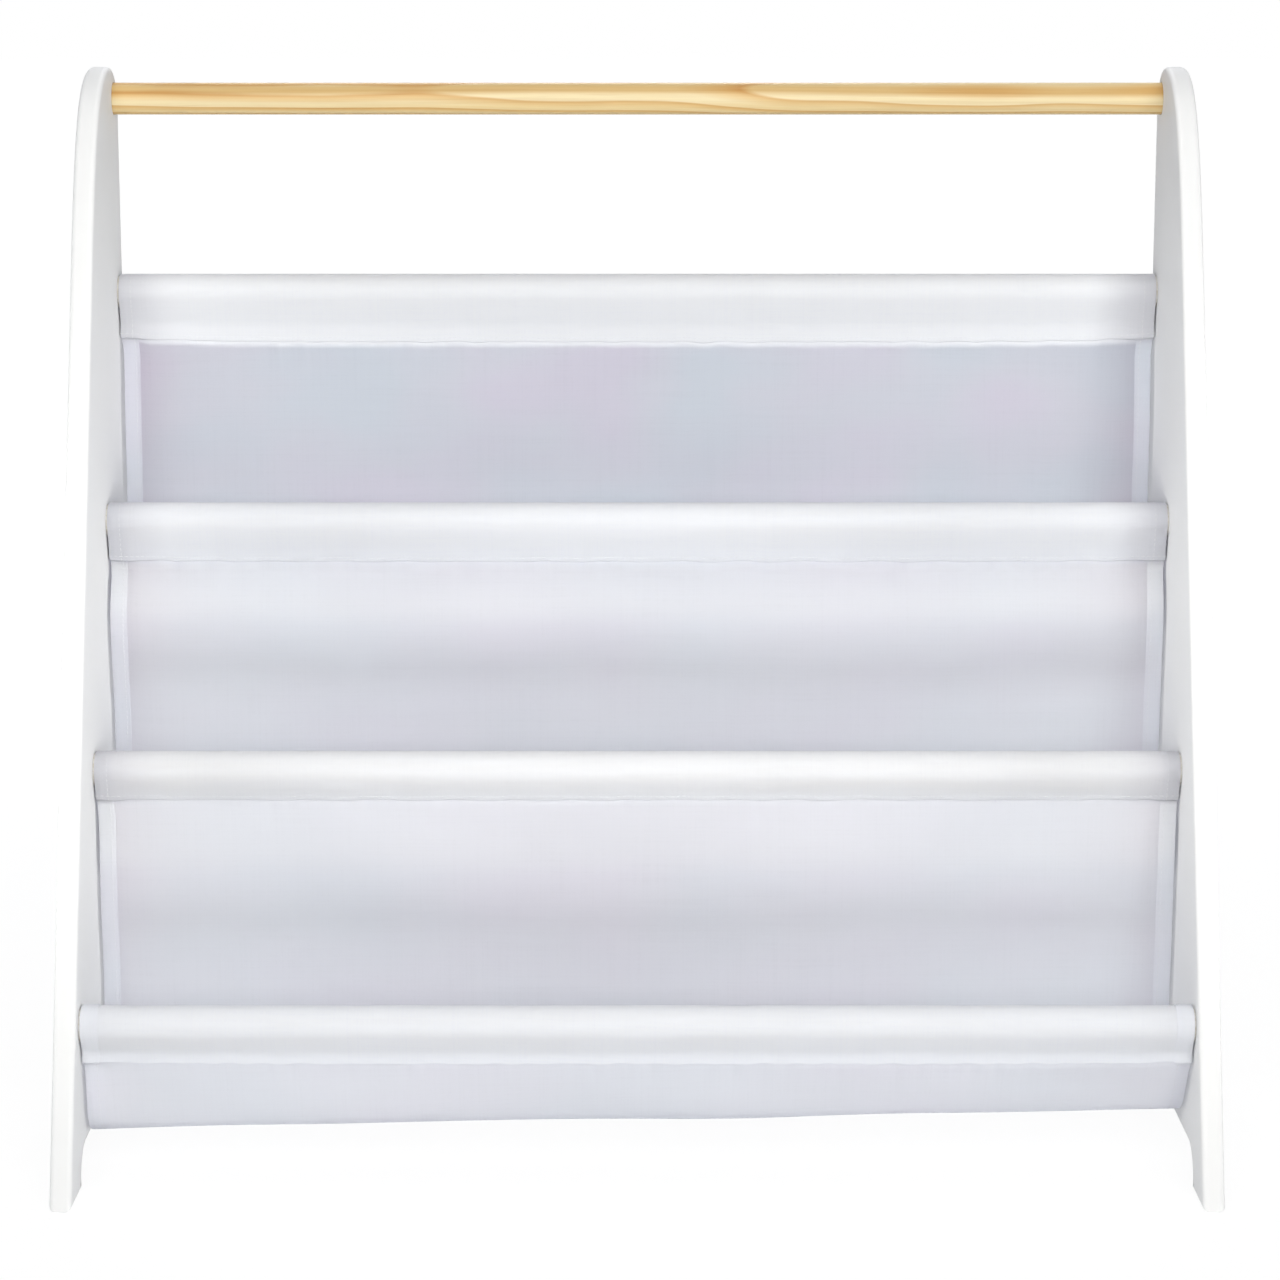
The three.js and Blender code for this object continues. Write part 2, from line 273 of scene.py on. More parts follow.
# %% Measures
PANEL_THICKNESS = 12.0
PANEL_DEPTH = 275.0
PANEL_HEIGHT = 590.0
INNER_WIDTH = 596.0
EDGE_RADIUS = 3.0
NOSE_DEPTH = 0.5745 * PANEL_DEPTH
NOSE_HEIGHT = 0.8034 * PANEL_HEIGHT
NOSE_LOWER_PULL = 0.144 * PANEL_HEIGHT
NOSE_UPPER_PULL = 0.164 * PANEL_DEPTH
BACK_CORNER_RADIUS = 25.0
FOOT_LENGTH = 38.0
ARCH_HEIGHT = 20.0
HEEL_RISE = 3.0
ROD_RADIUS = 9.0
SOCKET_DEPTH = 4.0
SEAT_GAP = 0.3
HANDLE_CENTRE = (PANEL_DEPTH - 16.5, PANEL_HEIGHT - 18.0)
ROD_CENTRES = [
    (share_depth * PANEL_DEPTH, share_height * PANEL_HEIGHT)
    for share_depth, share_height in ((0.9455, 0.783), (0.7018, 0.5746), (0.4418, 0.3585), (0.1764, 0.1492))
]
ROD_END = INNER_WIDTH / 2 + SOCKET_DEPTH - SEAT_GAP
PANEL_OUTER = INNER_WIDTH / 2 + PANEL_THICKNESS
HEAD_RADIUS = 7.5
HEAD_THICKNESS = 2.0
HEAD_SEAT = PANEL_OUTER - HEAD_THICKNESS - SEAT_GAP
BOLT_RADIUS = 3.0
BOLT_LENGTH = 20.0


def in_metres(x, depth, height):
    return (x * MM, (depth - PANEL_DEPTH / 2) * MM, height * MM)


print("rod centres, depth and height:", [tuple(round(v, 1) for v in c) for c in ROD_CENTRES])

# %% [markdown]
# ## Making a piece
# A piece is a mesh in metres whose object stays at the origin. Panels, rods, bolts and the
# cutters for their holes are all lofted through rings of points. The same few steps end
# every piece: bake its modifiers, shade it smoothly, give it its finish, let it ride on the
# body, and hide the imported nodes that it stands for.


# %% Piece helpers
def mesh_object(name, vertices, faces, edges=()):
    mesh = bpy.data.meshes.new(name)
    mesh.from_pydata([tuple(v) for v in vertices], edges, faces)
    mesh.update()
    piece = bpy.data.objects.new(name, mesh)
    bpy.context.scene.collection.objects.link(piece)
    return piece


def bake_modifiers(piece):
    bpy.context.view_layer.update()
    graph = bpy.context.evaluated_depsgraph_get()
    mesh = bpy.data.meshes.new_from_object(
        piece.evaluated_get(graph), preserve_all_data_layers=True, depsgraph=graph
    )
    piece.modifiers.clear()
    old = piece.data
    piece.data = mesh
    bpy.data.meshes.remove(old)
    mesh.name = piece.name
    return piece


def smooth_shading(piece, angle=40):
    piece.data.polygons.foreach_set("use_smooth", [True] * len(piece.data.polygons))
    piece.data.set_sharp_from_angle(angle=math.radians(angle))


def give(piece, name, values):
    """Stores a number for each point of the mesh, which a node tree can read by its name."""
    piece.data.attributes.new(name, "FLOAT", "POINT").data.foreach_set("value", values)


def finish_piece(piece, finish, replaced):
    piece.data.materials.clear()
    piece.data.materials.append(finish)
    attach(piece, "root")
    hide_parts(*replaced)
    print(piece.name, "faces:", len(piece.data.polygons))


def arc(centre, radius, start, end, steps):
    angles = np.radians(np.linspace(start, end, steps))
    return [(centre[0] + radius * math.cos(a), centre[1] + radius * math.sin(a)) for a in angles]


def lofted(name, rings):
    """A closed piece through rings of points in millimetres, with a face over each end."""
    count = len(rings[0])
    faces = []
    for ring in range(len(rings) - 1):
        for point in range(count):
            here, there = ring * count, (ring + 1) * count
            beside = (point + 1) % count
            faces.append((here + point, there + point, there + beside, here + beside))
    faces += [tuple(range(count)), tuple(range((len(rings) - 1) * count, len(rings) * count))]
    piece = mesh_object(name, [in_metres(*point) for ring in rings for point in ring], faces)
    shape = bmesh.new()
    shape.from_mesh(piece.data)
    bmesh.ops.recalc_face_normals(shape, faces=shape.faces)
    shape.to_mesh(piece.data)
    shape.free()
    return piece


def turned(name, profile, centre, sides):
    """A round piece about an axis along X. The profile lists x and radius."""
    rings = []
    for x, radius in profile:
        rings.append([(x, *point) for point in arc(centre, radius, 0, 360, sides + 1)[:-1]])
    return lofted(name, rings)


def cut_away(piece, cutters):
    for cutter in cutters:
        cut = piece.modifiers.new("hole", "BOOLEAN")
        cut.operation = "DIFFERENCE"
        cut.solver = "EXACT"
        cut.object = cutter
    bake_modifiers(piece)
    for cutter in cutters:
        bpy.data.objects.remove(cutter)


# %% [markdown]
# ## Painted side panels
# Each panel is a 12 mm board, cut to outline, with its edges rounded over by a router. A
# Bevel modifier gets into trouble at the tight arch corners, so the outline is lofted
# through the thickness, drawn in at both faces along a quarter circle. Blind sockets, bolt
# holes and sunk seats for the bolt heads are then cut with a Boolean.


# %% Panel outline
def cubic(p0, p1, p2, p3, steps):
    share = np.linspace(0, 1, steps)[:, None]
    p0, p1, p2, p3 = (np.array(p, float) for p in (p0, p1, p2, p3))
    rest = 1 - share
    return rest**3 * p0 + 3 * rest**2 * share * p1 + 3 * rest * share**2 * p2 + share**3 * p3


def panel_outline():
    corner = ARCH_HEIGHT - HEEL_RISE
    arch_back = PANEL_DEPTH - FOOT_LENGTH
    lean = np.array([NOSE_DEPTH, NOSE_HEIGHT])
    pull = lean + lean / np.linalg.norm(lean) * NOSE_LOWER_PULL
    top_start = (PANEL_DEPTH - BACK_CORNER_RADIUS, PANEL_HEIGHT)
    points = [(0, 0), (FOOT_LENGTH, 0)]
    points += arc((FOOT_LENGTH + corner, HEEL_RISE), corner, 180, 90, 17)
    points += arc((arch_back - corner, HEEL_RISE), corner, 90, 0, 17)
    points += [(arch_back, 0), (PANEL_DEPTH, 0)]
    corner_centre = (PANEL_DEPTH - BACK_CORNER_RADIUS, PANEL_HEIGHT - BACK_CORNER_RADIUS)
    points += arc(corner_centre, BACK_CORNER_RADIUS, 0, 90, 25)
    nose = cubic(top_start, (top_start[0] - NOSE_UPPER_PULL, PANEL_HEIGHT), pull, lean, 41)
    points += [tuple(p) for p in nose[1:]]
    return np.array(points, float)


def drawn_in(outline, inset):
    ahead = np.roll(outline, -1, axis=0) - outline
    ahead /= np.linalg.norm(ahead, axis=1)[:, None]
    inward = np.stack([-ahead[:, 1], ahead[:, 0]], axis=1)
    before = np.roll(inward, 1, axis=0)
    share = 1 + (inward * before).sum(axis=1)
    return outline + inset * (inward + before) / share[:, None]


print("points in the panel's outline:", len(panel_outline()))


# %% Panel boards
EDGE_STEPS = 7
FACE_BORDER = 2.5
CUT_OVERRUN = 1.0


def panel_board(name, side):
    outline = panel_outline()
    half = PANEL_THICKNESS / 2
    layers = [(-half, EDGE_RADIUS + FACE_BORDER, 0.0)]
    for a in np.radians(np.linspace(0, 90, EDGE_STEPS)):
        layers.append((-half + EDGE_RADIUS * (1 - math.cos(a)), EDGE_RADIUS * (1 - math.sin(a)), 1.0))
    layers += [(-x, inset, wear) for x, inset, wear in reversed(layers)]
    middle = side * (INNER_WIDTH + PANEL_THICKNESS) / 2
    board = lofted(name, [[(middle + x, *p) for p in drawn_in(outline, inset)] for x, inset, _ in layers])
    give(board, "edge", np.repeat([wear for _, _, wear in layers], len(outline)))
    return board


def cut_holes(board, side):
    inside = side * INNER_WIDTH / 2
    outside = side * PANEL_OUTER
    beyond = side * CUT_OVERRUN
    sizes = [
        (inside - beyond, inside + side * SOCKET_DEPTH, ROD_RADIUS + SEAT_GAP, 72),
        (inside, outside, BOLT_RADIUS + SEAT_GAP, 32),
        (side * HEAD_SEAT, outside + beyond, HEAD_RADIUS + SEAT_GAP, 64),
    ]
    cutters = []
    for centre in (*ROD_CENTRES, HANDLE_CENTRE):
        for start, end, radius, sides in sizes:
            cutters.append(turned("panel_cutter", [(start, radius), (end, radius)], centre, sides))
    cut_away(board, cutters)


# %% [markdown]
# Sprayed satin paint has a faint orange peel and a slow unevenness in its gloss. Along the
# routed edges the coat is a touch thinner and a little warmer. The marks are faint, because
# the shelf is new.


# %% White paint
PAINT_TONES = [(0.3, (0.815, 0.817, 0.817)), (0.7, (0.84, 0.84, 0.835))]
THIN_PAINT = (0.8, 0.793, 0.78, 1)
EDGE_WEAR = 0.6


def painted_board():
    finish, tree = new_finish("white_satin_paint")
    place = object_place(tree)
    coat = ramp(tree, noise(tree, place, 9.0, detail=3.0), PAINT_TONES)
    rubbed = math_node(tree, "MULTIPLY", attribute(tree, "edge"), noise(tree, place, 45.0, detail=4.0))
    colour = mixed_colours(tree, math_node(tree, "MULTIPLY", rubbed, EDGE_WEAR), coat, THIN_PAINT)
    gloss = between(tree, noise(tree, place, 30.0, detail=3.0), 0.44, 0.56)
    surface = bump(tree, noise(tree, place, 60.0), 0.25, 0.0004)
    surface = bump(tree, noise(tree, place, 850.0, detail=1.5), 0.18, 0.00012, surface)
    values = {"Base Color": colour, "Roughness": gloss, "Normal": surface, "Specular IOR Level": 0.08}
    show(tree, PRINCIPLED, values)
    return finish


WHITE_PAINT = painted_board()
for side_name, side in (("left", -1), ("right", 1)):
    panel = panel_board(side_name + "_panel_painted", side)
    cut_holes(panel, side)
    smooth_shading(panel)
    weighting = panel.modifiers.new("even_normals", "WEIGHTED_NORMAL")
    weighting.keep_sharp = True
    bake_modifiers(panel)
    finish_piece(panel, WHITE_PAINT, [side_name + "_side_panel"])

# %% [markdown]
# ## Pine rods
# The handle and the four rods in the sleeves are the same 18 mm dowel. Each is turned from
# a profile, with an eased edge and the hole for the threaded insert in both ends. The handle
# is bare pine. It cuts the tree's growth rings at a slant, so they show as long streaks,
# with warmer wood above and below the pale middle, and fine fibres and pores over it all.


# %% Pine
RING_SPACING = 0.0052
RING_DRIFT = 0.016
RING_SWAY = 0.011
PITH_OFFSET = (0.052, -0.041)
HEART_SWAY = 0.2
HEART_TONES = [
    (0.2, (1.0, 0.93, 0.79)),
    (0.38, (1, 1, 1)),
    (0.56, (1, 1, 1)),
    (0.72, (0.77, 0.63, 0.43)),
    (0.86, (0.78, 0.65, 0.45)),
    (0.98, (0.9, 0.85, 0.76)),
]
FIBRE_TONES = [(0.3, (0.88, 0.82, 0.74)), (0.52, (1, 1, 1)), (0.75, (0.96, 0.92, 0.86))]
PORE_TONES = [(0.32, (0.86, 0.78, 0.68)), (0.42, (1, 1, 1))]
GLOSS_CHANGE = 0.06


def growth_rings(tree, place, centre):
    """0 to 1 within each year's ring, for a rod sawn from beside the heart of the tree."""
    pith = (0.0, centre[1] + PITH_OFFSET[0], centre[2] + PITH_OFFSET[1])
    from_pith = vector_math(tree, "SUBTRACT", place, pith).outputs[0]
    across = vector_math(tree, "MULTIPLY", from_pith, (0, 1, 1)).outputs[0]
    radius = vector_math(tree, "LENGTH", across).outputs["Value"]
    drift = math_node(tree, "MULTIPLY", along_axis(tree, place, "X"), RING_DRIFT)
    sway = between(tree, grain(tree, place, (4.5, 14, 14), 1.5), -RING_SWAY, RING_SWAY)
    total = math_node(tree, "ADD", radius, math_node(tree, "ADD", drift, sway))
    return math_node(tree, "FRACT", math_node(tree, "DIVIDE", total, RING_SPACING))


def heartwood(tree, place, centre):
    """Warmer wood above and below the pale sapwood that runs along the middle of the rod."""
    low, high = centre[2] - ROD_RADIUS * MM, centre[2] + ROD_RADIUS * MM
    share = between(tree, along_axis(tree, place, "Z"), 0.0, 1.0, low, high)
    sway = between(tree, grain(tree, place, (3.2, 30, 30), 2.0), -HEART_SWAY, HEART_SWAY)
    return ramp(tree, math_node(tree, "ADD", share, sway), HEART_TONES)


def pine(name, centre, pale, warm, dark, roughness, with_heartwood=False):
    finish, tree = new_finish(name)
    place = object_place(tree)
    rings = growth_rings(tree, place, centre)
    body = ramp(tree, rings, [(0.0, pale), (0.38, pale), (0.78, warm), (0.9, dark), (1.0, pale)])
    fibres = grain(tree, place, (5.0, 430, 430), 3.0)
    colour = mixed_colours(tree, 0.7, body, ramp(tree, fibres, FIBRE_TONES), "MULTIPLY")
    if with_heartwood:
        colour = mixed_colours(tree, 1.0, colour, heartwood(tree, place, centre), "MULTIPLY")
    pores = grain(tree, place, (25, 2600, 2600), 2.0)
    colour = mixed_colours(tree, 0.4, colour, ramp(tree, pores, PORE_TONES), "MULTIPLY")
    surface = bump(tree, fibres, 0.2, 0.00015)
    surface = bump(tree, pores, 0.15, 0.00008, surface)
    gloss = between(tree, rings, roughness + GLOSS_CHANGE, roughness - GLOSS_CHANGE)
    values = {"Base Color": colour, "Roughness": gloss, "Normal": surface, "Specular IOR Level": 0.3}
    show(tree, PRINCIPLED, values)
    return finish


HANDLE_TONES = ((0.82, 0.685, 0.42), (0.725, 0.51, 0.235), (0.66, 0.41, 0.16))
SLEEVE_TONES = ((0.84, 0.82, 0.79), (0.79, 0.76, 0.71), (0.74, 0.7, 0.64))
HANDLE_PINE = pine("handle_pine", in_metres(0, *HANDLE_CENTRE), *HANDLE_TONES, 0.5, with_heartwood=True)
SLEEVE_PINE = pine("sleeve_pine", in_metres(0, *ROD_CENTRES[0]), *SLEEVE_TONES, 0.68)
print("pine finishes:", HANDLE_PINE.name, SLEEVE_PINE.name)


# %% Rods
ROD_SIDES = 96
ROD_RINGS = 41
ROD_TIP = 12.0
EASED = 0.6
EASED_CORNER = 0.18
INSERT_RADIUS = 5.0 + SEAT_GAP
INSERT_FLOOR = HEAD_SEAT - BOLT_LENGTH - 1.0
HOLE_EASED = 0.3
FLOOR_MIDDLE = 0.3


def pine_rod(name, centre, node, finish):
    half_profile = [
        (INSERT_FLOOR, FLOOR_MIDDLE),
        (INSERT_FLOOR, INSERT_RADIUS),
        (ROD_END - HOLE_EASED, INSERT_RADIUS),
        (ROD_END, INSERT_RADIUS + HOLE_EASED),
        (ROD_END, ROD_RADIUS - EASED),
        (ROD_END - EASED_CORNER, ROD_RADIUS - EASED_CORNER),
        (ROD_END - EASED, ROD_RADIUS),
    ]
    along = [(x, ROD_RADIUS) for x in np.linspace(ROD_END - ROD_TIP, -ROD_END + ROD_TIP, ROD_RINGS)]
    profile = half_profile + along + [(-x, radius) for x, radius in reversed(half_profile)]
    rod = turned(name, profile, centre, ROD_SIDES)
    smooth_shading(rod)
    finish_piece(rod, finish, [node])
    return rod


pine_rod("handle_rod", HANDLE_CENTRE, "handle_dowel", HANDLE_PINE)
for index, centre in enumerate(ROD_CENTRES):
    pine_rod(f"sleeve_rod_{index + 1}", centre, f"sling_rod_{index + 1}", SLEEVE_PINE)

# %% [markdown]
# ## Cloth pockets
# Each pocket is one length of thin white cloth with hemmed sides. Its top goes over a rod,
# and the edge is turned under and stitched down in front: that is the sleeve. Below the seam
# the cloth hangs, turns round the pocket's bottom and comes up in front, where it is caught
# in the next sleeve's seam. The lowest pocket ends in a sleeve of its own.
#
# A cloth simulation could drape it, but the sleeves, folds and seams need an exact path.
# So the cloth is drawn as a path seen from the end of the shelf, row by row, and repeated
# across the width with small changes: sag, ripples, puckers at the seams and drawn-in sides.
#
# Each seam hangs a tail's length below its rod and a little forward of it. Its flap may end
# in an upright band, and lifts towards its ends. A pocket's line gives shares of the way to
# the next hanging point and of the way down to the pocket's lowest edge.

# %% Cloth measures
CLOTH_THICKNESS = 0.36
SLEEVE_RADIUS = 10.2
SEAMS = [
    dict(tail=17.5, forward=3.0, turned=10.0, band=9.0, lift=2.8),
    dict(tail=11.8, forward=2.0, turned=8.0, band=0.0, lift=1.2),
    dict(tail=5.1, forward=3.5, turned=4.0, band=0.0, lift=0.6),
    dict(tail=10.1, forward=3.0, turned=5.5, band=5.0, lift=1.4),
]
HANGS_FROM = [(16.5, 9.9), (10.5, 9.9), (4.5, 6.93), (10.5, 5.45)]
CLOTH_HALF = 296.9
HEM_WIDTH = 9.0
HEM_STEP = 0.62
BILLOW = 2.2
BILLOW_WAVES = 1.5
UPPER_LINE = [(-0.066, 0.296), (-0.05, 0.66), (0.09, 0.906), (0.45, 1), (0.807, 0.937)]
MIDDLE_LINE = [(0.01, 0.212), (-0.086, 0.565), (-0.042, 0.859), (0.395, 1), (0.818, 0.918)]
LOWER_LEFT_LINE = [(-0.077, 0.325), (-0.119, 0.67), (-0.035, 0.911), (0.37, 1), (0.804, 0.957)]
LOWER_RIGHT_LINE = [(-0.077, 0.34), (-0.119, 0.7), (-0.035, 0.93), (0.273, 1), (0.65, 0.967)]
POCKETS = {
    "upper": dict(rod=0, drops=(42.0, 42.0), lines=(UPPER_LINE, UPPER_LINE)),
    "middle": dict(rod=1, drops=(48.5, 48.5), lines=(MIDDLE_LINE, MIDDLE_LINE)),
    "lower": dict(rod=2, drops=(44.5, 36.5), lines=(LOWER_LEFT_LINE, LOWER_RIGHT_LINE)),
}


# %% Ripples
def ripple(x, y, wavelength_x, wavelength_y, seed, waves=7):
    """Smooth uneven waves between about -1 and 1, the same on each run."""
    random = np.random.default_rng(seed)
    total = np.zeros(np.broadcast(x, y).shape)
    for _ in range(waves):
        across = 2 * math.pi / (wavelength_x * random.uniform(0.6, 1.7)) * random.choice([-1, 1])
        along = 2 * math.pi / (wavelength_y * random.uniform(0.6, 1.7))
        total += np.sin(across * x + along * y + random.uniform(0, 2 * math.pi))
    return total / math.sqrt(waves * 1.6)


def fade(distance, reach):
    return np.exp(-np.maximum(distance, 0) / reach)


def smoothstep(low, high, value):
    share = np.clip((value - low) / (high - low), 0, 1)
    return share * share * (3 - 2 * share)


# %% [markdown]
# From the seam, two straight plies touch the rod's round and the cloth wraps the rest of it.
# The turned-under edge behind the front ply makes the bright double band above each seam.


# %% Path of a sleeve
SAG_REACH = 34.0
RAGGED = 0.35
RAGGED_WAVE = 26.0
FLAP_STEPS = (0.7, 1.3)
BACK_STEPS = (0.5, 0.75)
CAUGHT_STEPS = (1.25, 0.65)
UNDER_STEP = 0.1
SLEEVE_ROOM = 1.5
BEND_LEG = 2.6
BAND_FLARE = 0.5


def below_rod(rod, tail, forward):
    depth, height = ROD_CENTRES[rod]
    return np.array([depth - forward, height - ROD_RADIUS - SLEEVE_ROOM - tail])


def seam_point(rod, x):
    seam = SEAMS[rod]
    lift = seam["lift"] * fade(CLOTH_HALF - abs(x), SAG_REACH)
    ragged = RAGGED * float(ripple(x, 0.0, RAGGED_WAVE, 1e9, 50 + rod))
    return below_rod(rod, seam["tail"], seam["forward"]) + (0, lift + ragged)


def touch_angle(point, centre, side):
    away = point - np.array(centre)
    spread = math.acos(min(SLEEVE_RADIUS / np.linalg.norm(away), 1))
    facing = math.atan2(away[1], away[0])
    return facing - spread if side == "front" else facing + spread


def on_sleeve(centre, angle):
    return np.array(centre) + SLEEVE_RADIUS * np.array([math.cos(angle), math.sin(angle)])


def straight(start, end, steps, first=True):
    shares = np.linspace(0, 1, steps)[0 if first else 1:]
    return [start + (end - start) * share for share in shares]


def soft_bend(before, corner, after, steps):
    """A corner eased over a few millimetres on each side."""
    start = corner + (before - corner) / np.linalg.norm(before - corner) * BEND_LEG
    end = corner + (after - corner) / np.linalg.norm(after - corner) * BEND_LEG
    return [(1 - t) ** 2 * start + 2 * t * (1 - t) * corner + t * t * end for t in np.linspace(0, 1, steps)]


def front_ply(rod, bottom):
    """From the flap's lower edge up to where the cloth meets the rod's round."""
    centre = ROD_CENTRES[rod]
    band = SEAMS[rod]["band"]
    if band == 0:
        angle = touch_angle(bottom, centre, "front")
        return straight(bottom, on_sleeve(centre, angle), 17), angle
    knee = bottom + (BAND_FLARE, band)
    angle = touch_angle(knee, centre, "front")
    touch = on_sleeve(centre, angle)
    bend = soft_bend(bottom, knee, touch, 6)
    return straight(bottom, bend[0], 6)[:-1] + bend + straight(bend[-1], touch, 7, first=False), angle


def stepped(steps, hem_stack):
    """How far a ply lies off the seam: alone, and further where the side hem thickens it."""
    return np.array([steps[0] + steps[1] * hem_stack, 0])


def sleeve_path(rod, x, hem_stack, hem_outside):
    """From the turned-under edge, round the rod, to the back of the seam."""
    centre = ROD_CENTRES[rod]
    seam = seam_point(rod, x)
    front = seam - stepped(FLAP_STEPS, 0 if hem_outside else hem_stack)
    under = seam - (UNDER_STEP, 0)
    back = seam + stepped(BACK_STEPS, hem_stack)
    ply, front_angle = front_ply(rod, front)
    back_angle = touch_angle(back, centre, "back")
    up = (ply[1] - front) / np.linalg.norm(ply[1] - front)
    path = straight(under + up * SEAMS[rod]["turned"], under, 5)
    turn_radius = (under[0] - front[0]) / 2
    path += arc((under[0] - turn_radius, seam[1]), turn_radius, 0, -180, 7)[1:-1] + ply
    wrap = math.degrees(front_angle), math.degrees(back_angle) - 360
    path += arc(centre, SLEEVE_RADIUS, *wrap, 27)[1:-1]
    path += straight(on_sleeve(centre, back_angle), back, 8)
    return path, back


# %% Path of a whole pocket
SHEET_STEPS = 84
SEAM_FALL = 6.0
OWN_SEAM_FALL = (0.7, -3.0)
CAUGHT_LENGTH = 3.2
HEM_STACK = (CLOTH_HALF - HEM_WIDTH - 8.0, CLOTH_HALF - HEM_WIDTH - 1.0)


def spline_through(points, steps):
    points = np.array(points)
    last = len(points) - 1
    place = np.linspace(0, 1, steps) * last
    knot = np.minimum(place.astype(int), last - 1)
    t = (place - knot)[:, None]
    p0, p1, p2, p3 = (points[np.clip(knot + step, 0, last)] for step in (-1, 0, 1, 2))
    v0, v1 = (p2 - p0) / 2, (p3 - p1) / 2
    return (2 * p1 - 2 * p2 + v0 + v1) * t**3 + (-3 * p1 + 3 * p2 - 2 * v0 - v1) * t**2 + v0 * t + p1


def pocket_path(pocket, x):
    """The cloth's middle line at one place across the shelf, and the row numbers of its seams."""
    rod = pocket["rod"]
    across = x / CLOTH_HALF
    right_share = (across + 1) / 2
    hem_stack = float(smoothstep(*HEM_STACK, abs(x)))
    path, back = sleeve_path(rod, x, hem_stack, False)
    first_sheet_row = len(path)
    hang = below_rod(rod, *HANGS_FROM[rod])
    next_hang = below_rod(rod + 1, *HANGS_FROM[rod + 1])
    left_drop, right_drop = pocket["drops"]
    full_drop = hang[1] - next_hang[1] + (left_drop + (right_drop - left_drop) * right_share)
    wave = math.cos(across * BILLOW_WAVES * math.pi + rod)
    left_line, right_line = pocket["lines"]
    line = []
    for index, (left, right) in enumerate(zip(left_line, right_line)):
        forward, down = (a + (b - a) * right_share for a, b in zip(left, right))
        swell = math.sin(math.pi * (index + 1) / (len(left_line) + 1))
        depth = hang[0] + (next_hang[0] - hang[0]) * forward + BILLOW * swell * wave
        line.append(np.array([depth, hang[1] - full_drop * down]))
    below = np.array([0, -SEAM_FALL])
    if rod == 2:
        front_path, end = sleeve_path(rod + 1, x, hem_stack, True)
        end_below = end + OWN_SEAM_FALL
        tail = front_path[::-1][1:]
    else:
        seam = seam_point(rod + 1, x)
        end = seam + stepped(CAUGHT_STEPS, hem_stack)
        end_below = end + below
        lean_angle = touch_angle(seam + stepped(BACK_STEPS, 0), ROD_CENTRES[rod + 1], "back")
        lean = on_sleeve(ROD_CENTRES[rod + 1], lean_angle) - seam
        tail = straight(end, end + lean / np.linalg.norm(lean) * CAUGHT_LENGTH, 4, first=False)
    path += straight(back, back + below, 5, first=False)
    path += list(spline_through([back + below, *line, end_below], SHEET_STEPS))[1:]
    path += straight(end_below, end, 5, first=False)
    return np.array(path + tail), first_sheet_row, len(path) - 1


sample_path, first_row, last_row = pocket_path(POCKETS["lower"], 0.0)
print("rows of the lower pocket:", len(sample_path), "sheet from", first_row, "to", last_row)

# %% [markdown]
# The columns run from the inner edge of one side hem, round its fold, across the cloth and
# round the other hem. Each has a place across the shelf and a step towards the pocket's
# inside, so that the hem lies folded against the cloth with a little air between.


# %% Columns of the cloth
COLUMN_PITCH = 3.1


def cloth_columns():
    radius = HEM_STEP / 2
    hem = [(CLOTH_HALF - distance, HEM_STEP) for distance in np.linspace(HEM_WIDTH, radius, 5)]
    one_side = hem + arc((CLOTH_HALF - radius, radius), radius, 90, -90, 7)[1:-1]
    count = int(2 * (CLOTH_HALF - radius) / COLUMN_PITCH)
    middle = [(x, 0.0) for x in np.linspace(-CLOTH_HALF + radius, CLOTH_HALF - radius, count)]
    return [(-x, step) for x, step in one_side] + middle + one_side[::-1]


# %% [markdown]
# The path gives a smooth cloth. Real cloth puckers along its seams, waves slowly where it
# hangs upright, and draws in a little at its sides. Each kind of crease has a height and two
# wavelengths, across the shelf and along the cloth, in millimetres.


# %% Creases and surface
PUCKERS = (0.34, 11, 120)
SLOW_WAVES = (1.1, 170, 120)
LUMPS = (0.11, 70, 30)
FINE_WAVES = (0.12, 24, 60)
PUCKER_START = 1.5
PUCKER_REACH = 9.0
SHEET_START = 25.0
FLAP_LENGTH = 22.0
CALM_ON_ROD = 0.35
LEVEL_SLOW = 0.2
LEVEL_LUMPS = 0.15
SIDE_DRAW = (1.3, 0.8, 0.8)
DRAW_START = (-6.0, 12.0)


def waves(kind, x_grid, along, seed):
    height, across, down = kind
    return height * ripple(x_grid, along, across, down, seed)


def creases(x_grid, along, ahead, first, last, seed):
    """How far the cloth stands out of its smooth path at each place."""
    from_top, to_end = along - along[first], along[last] - along
    on_sheet = smoothstep(0, SHEET_START, from_top) * smoothstep(0, SHEET_START, to_end)
    upright = np.where(on_sheet > 0, np.abs(ahead[:, :, 1]) ** 2, 1.0)
    from_seam = np.minimum(np.abs(from_top), np.abs(to_end)) - PUCKER_START
    puckers = waves(PUCKERS, x_grid, along, seed) * fade(from_seam, PUCKER_REACH)
    slow = waves(SLOW_WAVES, x_grid, along, seed + 1) * on_sheet * (LEVEL_SLOW + (1 - LEVEL_SLOW) * upright)
    lumps = waves(LUMPS, x_grid, along, seed + 2) * (LEVEL_LUMPS + (1 - LEVEL_LUMPS) * upright)
    fine = waves(FINE_WAVES, x_grid, along, seed + 3) * on_sheet * upright
    calm = np.where(from_top < -FLAP_LENGTH, CALM_ON_ROD, 1.0)
    return (puckers + lumps) * calm + slow + fine


